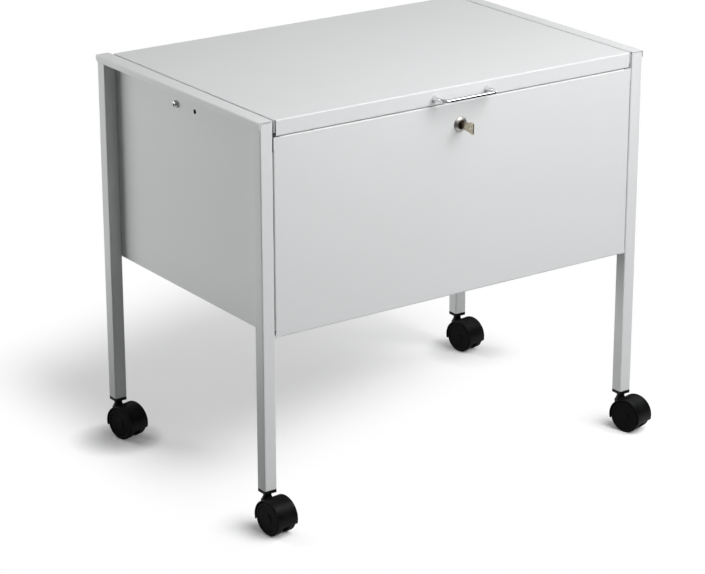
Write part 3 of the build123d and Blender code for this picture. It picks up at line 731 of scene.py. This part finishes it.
panScrew = {
    "dome": ((0.0, 1.0), (0.30, 0.985), (0.55, 0.93), (0.76, 0.80),
             (0.91, 0.58), (0.98, 0.32), (1.0, 0.14), (0.985, 0.0)),
    "shankChamfer": 0.0005,
    "recessSize": 0.56,  # size and width as shares of the head's width, depth of its height
    "recessWidth": 0.135,
    "recessDepth": 0.62,
    "recessTaper": 0.72,
}
screwSizes = {
    "frame_screws": {"head": 0.0022, "shank": 0.002, "along": 0},
    "handle_screws": {"head": 0.0022, "shank": 0.002, "along": 1},
    "cam_screw": {"head": 0.0025, "shank": 0.0015, "along": 1},
}


def crossRecess(size, width, depth, taper):
    # tapered cross, as a driver leaves it
    arm, half = size / 2, width / 2
    corners = [(arm, half), (half, half), (half, arm), (-half, arm), (-half, half), (-arm, half),
               (-arm, -half), (-half, -half), (-half, -arm), (half, -arm), (half, -half), (arm, -half)]
    return prism(corners, -depth, depth, taper)


for node, size in screwSizes.items():
    look = panScrew
    boxes = nodeIslands(node)
    spans = boxes[0][1] - boxes[0][0]
    blank = screwBlank(look, spans[2] / 2, size["head"], size["shank"], spans[size["along"]])
    recess = crossRecess(spans[2] * look["recessSize"], spans[2] * look["recessWidth"],
                         size["head"] * look["recessDepth"], look["recessTaper"])
    axes = [inward(box) if size["along"] == 0 else (0.0, 1.0, 0.0) for box in boxes]
    placings = [seated(box, axis) for box, axis in zip(boxes, axes)]
    standFor(node, placeCopies(combine(blank, recess, "DIFFERENCE"), placings), zincMaterial)


stayScrew = {
    "dome": ((0.0, 1.0), (0.34, 0.985), (0.60, 0.92), (0.80, 0.78),
             (0.93, 0.56), (0.99, 0.34), (1.0, 0.16), (0.97, 0.0)),
    "headHeight": 0.005,
    "shankRadius": 0.003,
    "shankChamfer": 0.0004,
    "socketWidth": 0.004,
    "socketDepth": 0.0022,
}
for node, outward in (("stay_screw_left", -1.0), ("stay_screw_right", 1.0)):
    look = stayScrew
    box = nodeIslands(node)[0]
    spans = box[1] - box[0]
    blank = screwBlank(look, spans[2] / 2, look["headHeight"], look["shankRadius"], spans[0])
    socket = prism(hexCorners(look["socketWidth"]), -look["socketDepth"], look["socketDepth"])
    shape = combine(blank, socket, "DIFFERENCE")
    standFor(node, placeCopies(shape, [seated(box, (outward, 0.0, 0.0))]), zincMaterial)


stayNut = {
    "width": 0.010,
    "bore": 0.00315,
    "coneTop": 0.98,  # share of the half width
    "coneFoot": 1.02,  # share of the reach to a corner
    "coneDrop": 0.288,  # share of the depth
    "cutPast": 0.001,
}


def stayNutShape(depth):
    # origin in the outer face, which a cone chamfers
    look = stayNut
    corners = hexCorners(look["width"])
    top = look["width"] / 2 * look["coneTop"]
    foot = corners[0][0] * look["coneFoot"]
    drop = depth * look["coneDrop"]
    cone = turnedMesh([(0.0, 0.0), (top, 0.0), (foot, -drop), (foot, -depth), (0.0, -depth)])
    blank = combine(prism(corners, -depth, 0.0), cone, "INTERSECT")
    radius, over = look["bore"], look["cutPast"]
    bore = turnedMesh([(0.0, over), (radius, over), (radius, -depth - over), (0.0, -depth - over)])
    return combine(blank, bore, "DIFFERENCE")


boxes = nodeIslands("stay_nuts")
shape = stayNutShape(boxes[0][1][0] - boxes[0][0][0])
standFor("stay_nuts", placeCopies(shape, [seated(box, inward(box)) for box in boxes]), zincMaterial)


keyBow = {
    "solidRoot": 0.026,  # end of the bow to its root, as the solid has it
    "rootSlack": 0.0001,
    "root": 0.0317,
    "rootStep": 0.0045,
    "rootHalf": 0.0042,
    "corners": 0.0021,
    "endPull": 0.005,
    "endSpread": 0.0023,
    "holePull": 0.0035,
}


def flareBow(bm):
    # widens the key's bow evenly from the plug to its end
    look = keyBow
    end = min(vert.co.y for vert in bm.verts)
    heights = [vert.co.z for vert in bm.verts if vert.co.y < end + look["corners"]]
    axis = (min(heights) + max(heights)) / 2
    for vert in bm.verts:
        out = vert.co.y - end
        side = 1.0 if vert.co.z > axis else -1.0
        if abs(out - look["solidRoot"]) < look["rootSlack"]:
            vert.co.y = end + look["root"]
            if abs(vert.co.z - axis) > look["rootStep"]:
                vert.co.z = axis + side * look["rootHalf"]
        elif out < look["corners"]:
            vert.co.y += look["endPull"]
            vert.co.z += side * look["endSpread"]
        elif out < look["solidRoot"]:
            vert.co.y += look["holePull"]


bowHandle = {
    "spacing": 0.092,
    "reach": 0.026,  # lid to the bar's axis
    "radius": 0.003,
    "bend": 0.009,
    "footRadius": 0.00435,
    "footLength": 0.009,
    "rimEdge": 0.0002,
    "bore": (0.002, 0.008),  # radius and depth of the screw hole
    "sides": 48,
    "bendSteps": 20,
    "flareSteps": 8,
}


def bowHandleMesh():
    # one tube along the bow, with a flared foot and a screw hole at each end
    look = bowHandle
    low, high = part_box("handle")
    base, level = high[1], (low[2] + high[2]) / 2
    half, bend = look["spacing"] / 2, look["bend"]
    boreRadius, boreDepth = look["bore"]
    rim = look["footRadius"] - look["rimEdge"]
    foot = [(boreDepth, 0.0), (boreDepth, boreRadius), (0.0, boreRadius), (0.0, rim)]
    for step in range(look["flareSteps"] + 1):
        share = step / look["flareSteps"]
        out = look["rimEdge"] + (look["footLength"] - look["rimEdge"]) * share
        foot.append((out, look["radius"] + (look["footRadius"] - look["radius"]) * (1 - share) ** 2))
    stations = [(-half, out, 0.0, radius) for out, radius in foot]
    for side in (-1, 1):
        for step in range(look["bendSteps"] + 1):
            turn = math.pi / 2 * (step / look["bendSteps"] + (side > 0))
            x = side * (half - bend) - bend * math.cos(turn)
            stations.append((x, look["reach"] - bend + bend * math.sin(turn), turn, look["radius"]))
    stations += [(half, out, math.pi, radius) for out, radius in foot[::-1]]
    bm = bmesh.new()
    rings = []
    for x, out, turn, radius in stations:
        points = []
        for step in range(look["sides"] if radius else 1):
            around = 2 * math.pi * step / look["sides"]
            along = radius * math.cos(around)
            points.append((x - along * math.cos(turn), base - out - along * math.sin(turn),
                           level + radius * math.sin(around)))
        rings.append([bm.verts.new(point) for point in points])
    skinRings(bm, rings, look["sides"])
    return bm


standFor("handle", bowHandleMesh(), chromeMaterial)


softEdges = {
    "key": {"width": 0.00028, "segments": 2, "reshape": flareBow},
    "lock_barrel": {"width": 0.00022, "segments": 2},
    "lock_nut": {"width": 0.0004, "segments": 2},
    "lock_cam": {"width": 0.0003, "segments": 2},
    "lock_strike": {"width": 0.0003, "segments": 2},
    "stay_arm_left": {"width": 0.0003, "segments": 2},
    "stay_arm_right": {"width": 0.0003, "segments": 2},
    "stay_rivets": {"width": 0.0004, "segments": 3},
    "stay_spacers": {"width": 0.0004, "segments": 2},
}
for node, look in softEdges.items():
    bm = mergedNode(node)
    flat = math.radians(meshWork["flatAngle"])
    bmesh.ops.dissolve_limit(bm, angle_limit=flat, verts=bm.verts, edges=bm.edges)
    if "reshape" in look:
        look["reshape"](bm)
    thing = newObject("softened", bm)
    bevel = thing.modifiers.new("bevel", "BEVEL")
    bevel.width = look["width"]
    bevel.segments = look["segments"]
    bevel.limit_method = "ANGLE"
    bevel.angle_limit = math.radians(meshWork["breakAngle"])
    standFor(node, applied(thing), frame["nodes"][node].material_slots[0].material)
print("small pieces ready")


# Floor, surroundings and lights

studio = {
    "floorSize": 40.0,
    "floorColour": (0.28, 0.28, 0.28),
    "floorSeenGain": 1.05,
    "shadowCentre": (0.005, 0.372),
    "shadowSkew": 0.36,
    "shadowInner": (0.26, 0.13),
    "shadowOuter": (0.455, 0.42),
    "shadowKeep": (0.68, 0.70),
    "contactReach": 0.11,
    "contactCore": 0.25,  # share of the reach
    "contactKeep": 0.95,
    "skyLight": 0.12,
    "trayRadius": 1.6,
    "trayInner": 0.9,
    "trayLow": 0.004,
    "trayTop": 0.80,
    "trayFrontTop": 1.70,
    "traySides": 96,
    "ceilingX": (-2.2, 2.2),
    "ceilingY": (-0.45, 2.4),
    "ceilingZ": 2.2,
    "ceilingLevel": 0.22,
    "flagX": -1.0,
    "flagFront": (-0.05, 0.41),
    "flagBack": (2.2, 0.02),
}
softboxes = {
    "keySoftbox": {
        "place": (0.6, -1.3, 1.9), "aim": (0.0, 0.0, 0.35), "size": (1.8, 1.8),
        "power": 45.0, "colour": (0.985, 0.985, 1.0),
    },
    "frontSoftbox": {
        "place": (0.2, -1.5, 1.4), "aim": (0.0, 0.0, 0.5), "size": (1.3, 1.3),
        "power": 12.6, "colour": (0.985, 0.985, 1.0),
    },
    "sideSoftbox": {
        "place": (-3.0, 3.4, 0.65), "aim": (-0.33, 0.0, 0.48), "size": (3.4, 0.9),
        "power": 149.0, "colour": (0.986, 1.0, 0.992),
    },
    "rightSoftbox": {
        "place": (2.4, 0.2, 1.0), "aim": (0.3, 0.0, 0.45), "size": (1.0, 1.0),
        "power": 10.0, "colour": (1.0, 1.0, 1.0),
    },
    "backSoftbox": {
        "place": (-0.9, 1.9, 1.8), "aim": (0.0, 0.2, 0.5), "size": (1.0, 1.0),
        "power": 9.0, "colour": (1.0, 1.0, 1.0),
    },
}


def stageMesh(name, bm):
    # a piece of the set, with an empty material
    thing = newObject(name, bm)
    thing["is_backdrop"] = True
    material = bpy.data.materials.new(name)
    material.use_nodes = True
    material.node_tree.nodes.clear()
    thing.data.materials.append(material)
    return thing, material.node_tree


def seenRays(tree, x, y):
    # 1 for rays that show the surroundings: camera, glossy and transmission
    path = putNode(tree, "ShaderNodeLightPath", x, y).outputs
    seen = mathNode(tree, x + 200, y, "MAXIMUM", path["Is Camera Ray"], path["Is Glossy Ray"])
    return mathNode(tree, x + 400, y, "MAXIMUM", seen, path["Is Transmission Ray"])


def shadowPatch(tree, x, y, where):
    # 1 inside a skewed rectangle on the floor, fading to 0 between its inner and outer half sizes
    look = studio
    shifted = vectorNode(tree, x, y, "SUBTRACT", where, (*look["shadowCentre"], 0.0))
    parts = splitNode(tree, x + 140, y, shifted)
    slant = -look["shadowSkew"]
    skewed = mathNode(tree, x + 260, y - 160, "MULTIPLY_ADD", parts["X"], slant, parts["Y"])
    fades = []
    for axis, offset in enumerate((parts["X"], skewed)):
        apart = mathNode(tree, x + 400, y - 160 * axis, "ABSOLUTE", offset)
        span = (look["shadowInner"][axis], look["shadowOuter"][axis])
        fades.append(rampNode(tree, x + 540, y - 160 * axis, apart, span, (1.0, 0.0), smooth=True))
    return mathNode(tree, x + 740, y, "MULTIPLY", *fades)


def contactPatch(tree, x, y, where, corner):
    # most at the middle of a castor, fading to 0 at the reach
    look = studio
    low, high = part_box("castor_" + corner + "_hood")
    foot = ((low[0] + high[0]) / 2, (low[1] + high[1]) / 2, 0.0)
    shifted = vectorNode(tree, x, y, "SUBTRACT", where, foot)
    apart = vectorNode(tree, x + 180, y, "LENGTH", shifted)
    near = mathNode(tree, x + 360, y, "DIVIDE", apart, look["contactReach"])
    span, result = (look["contactCore"], 1.0), (look["contactKeep"], 0.0)
    return rampNode(tree, x + 560, y, near, span, result, smooth=True)


def makeFloor():
    # white paper: the shadow shows near the trolley and fades into plain white
    look = studio
    bm = bmesh.new()
    bmesh.ops.create_grid(bm, x_segments=1, y_segments=1, size=look["floorSize"] / 2)
    tree = stageMesh("studioFloor", bm)[1]
    seen = seenRays(tree, -900, 500)
    seenColour = (look["floorSeenGain"],) * 3
    paper = putNode(tree, "ShaderNodeBsdfDiffuse", 460, 60)
    feed(tree, mixColour(tree, 220, 120, look["floorColour"], seenColour, seen), paper.inputs["Color"])
    where = putNode(tree, "ShaderNodeNewGeometry", -1200, -100).outputs["Position"]
    inner = look["shadowInner"][0]
    across = splitNode(tree, -900, 40, where)["X"]
    depth = rampNode(tree, -340, 60, across, (-inner, inner), look["shadowKeep"])
    kept = mathNode(tree, 20, 220, "MULTIPLY", shadowPatch(tree, -900, 220, where), depth)
    for order, corner in enumerate(("front_left", "front_right", "back_left", "back_right")):
        y = -100 - 220 * order
        kept = mathNode(tree, -120, y, "MAXIMUM", kept, contactPatch(tree, -900, y, where, corner))
    white = mathNode(tree, 80, -300, "SUBTRACT", 1.0, kept)
    share = mathNode(tree, 260, -300, "MULTIPLY", white, seen)
    glow = putNode(tree, "ShaderNodeEmission", 460, -120)
    both = putNode(tree, "ShaderNodeMixShader", 680, 0)
    output = putNode(tree, "ShaderNodeOutputMaterial", 900, 0)
    feed(tree, share, both.inputs[0])
    feed(tree, paper.outputs[0], both.inputs[1])
    feed(tree, glow.outputs[0], both.inputs[2])
    feed(tree, both.outputs[0], output.inputs["Surface"])


def makeSurroundings():
    world = bpy.data.worlds.new("studioWorld")
    bpy.context.scene.world = world
    world.use_nodes = True
    tree = world.node_tree
    back = tree.nodes["Background"]
    feed(tree, (1.0, 1.0, 1.0), back.inputs["Color"])
    seen = seenRays(tree, -900, 0)
    level = rampNode(tree, -220, -100, seen, (0.0, 1.0), (studio["skyLight"], 1.0))
    feed(tree, level, back.inputs["Strength"])


def studioCard(name, bm, level=0.0):
    # a card that no camera sees, black or of an even grey
    card, tree = stageMesh(name, bm)
    glow = putNode(tree, "ShaderNodeEmission", 0, 0)
    output = putNode(tree, "ShaderNodeOutputMaterial", 220, 0)
    feed(tree, (level, level, level), glow.inputs["Color"])
    feed(tree, glow.outputs[0], output.inputs["Surface"])
    card.visible_camera = False
    card.visible_diffuse = False
    card.visible_transmission = False
    card.visible_volume_scatter = False
    return card


def makeDarkTray():
    # round the set, seen only in reflections, for contrast in the plated pieces
    look = studio
    steps = look["traySides"]
    inner, outer, low = look["trayInner"], look["trayRadius"], look["trayLow"]
    bm = bmesh.new()
    rings = [[], [], []]
    for step in range(steps):
        turn = 2 * math.pi * step / steps
        front = max(0.0, -math.sin(turn))
        rim = look["trayTop"] + (look["trayFrontTop"] - look["trayTop"]) * front  # higher at the front
        for ring, (radius, height) in zip(rings, ((inner, low), (outer, low), (outer, rim))):
            ring.append(bm.verts.new((radius * math.cos(turn), radius * math.sin(turn), height)))
    skinRings(bm, rings, steps)
    tray = studioCard("darkTray", bm)
    tray.visible_shadow = False


def makeGreyCeiling():
    # over the back of the set, seen only in reflections
    look = studio
    bm = bmesh.new()
    (left, right), (front, back) = look["ceilingX"], look["ceilingY"]
    corners = ((left, front), (right, front), (right, back), (left, back))
    bm.faces.new([bm.verts.new((x, y, look["ceilingZ"])) for x, y in corners])
    ceiling = studioCard("greyCeiling", bm, look["ceilingLevel"])
    ceiling.visible_shadow = False


def makeFlag():
    # keeps the side softbox off the lower legs
    look = studio
    bm = bmesh.new()
    (frontY, frontTop), (backY, backTop) = look["flagFront"], look["flagBack"]
    corners = ((frontY, 0.0), (backY, 0.0), (backY, backTop), (frontY, frontTop))
    bm.faces.new([bm.verts.new((look["flagX"], y, z)) for y, z in corners])
    flag = studioCard("sideFlag", bm)
    flag.visible_glossy = False


def addSoftbox(name, look):
    light = bpy.data.lights.new(name, "AREA")
    light.shape = "RECTANGLE"
    light.size, light.size_y = look["size"]
    light.energy = look["power"]
    light.color = look["colour"]
    lamp = bpy.data.objects.new(name, light)
    lamp.location = look["place"]
    sight = Vector(look["aim"]) - Vector(look["place"])
    lamp.rotation_euler = sight.to_track_quat("-Z", "Y").to_euler()
    bpy.context.scene.collection.objects.link(lamp)


makeFloor()
makeSurroundings()
makeDarkTray()
makeGreyCeiling()
makeFlag()
for name, look in softboxes.items():
    addSoftbox(name, look)
print("studio ready")


viewPoint = {
    "place": (-2.134, -3.033, 1.569),
    "yaw": 34.75,
    "pitch": 19.8,
    "roll": 0.1,
    "focalPixels": 2600.0,
    "imageWidth": 705.0,
    "sensor": 36.0,
}


def makeCamera():
    look = viewPoint
    lens = bpy.data.cameras.new("photoCamera")
    lens.sensor_fit = "HORIZONTAL"
    lens.sensor_width = look["sensor"]
    lens.lens = look["sensor"] * look["focalPixels"] / look["imageWidth"]
    camera = bpy.data.objects.new("photoCamera", lens)
    camera.location = look["place"]
    tilt = math.radians(90.0 - look["pitch"])
    camera.rotation_euler = (tilt, math.radians(look["roll"]), math.radians(-look["yaw"]))
    bpy.context.scene.collection.objects.link(camera)
    bpy.context.scene.camera = camera


makeCamera()
bpy.context.scene.view_settings.view_transform = "Standard"
print("camera ready")

seenLow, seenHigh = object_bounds()
boxes = {"cad": [list(cadLow), list(cadHigh)], "visual": [list(seenLow), list(seenHigh)]}
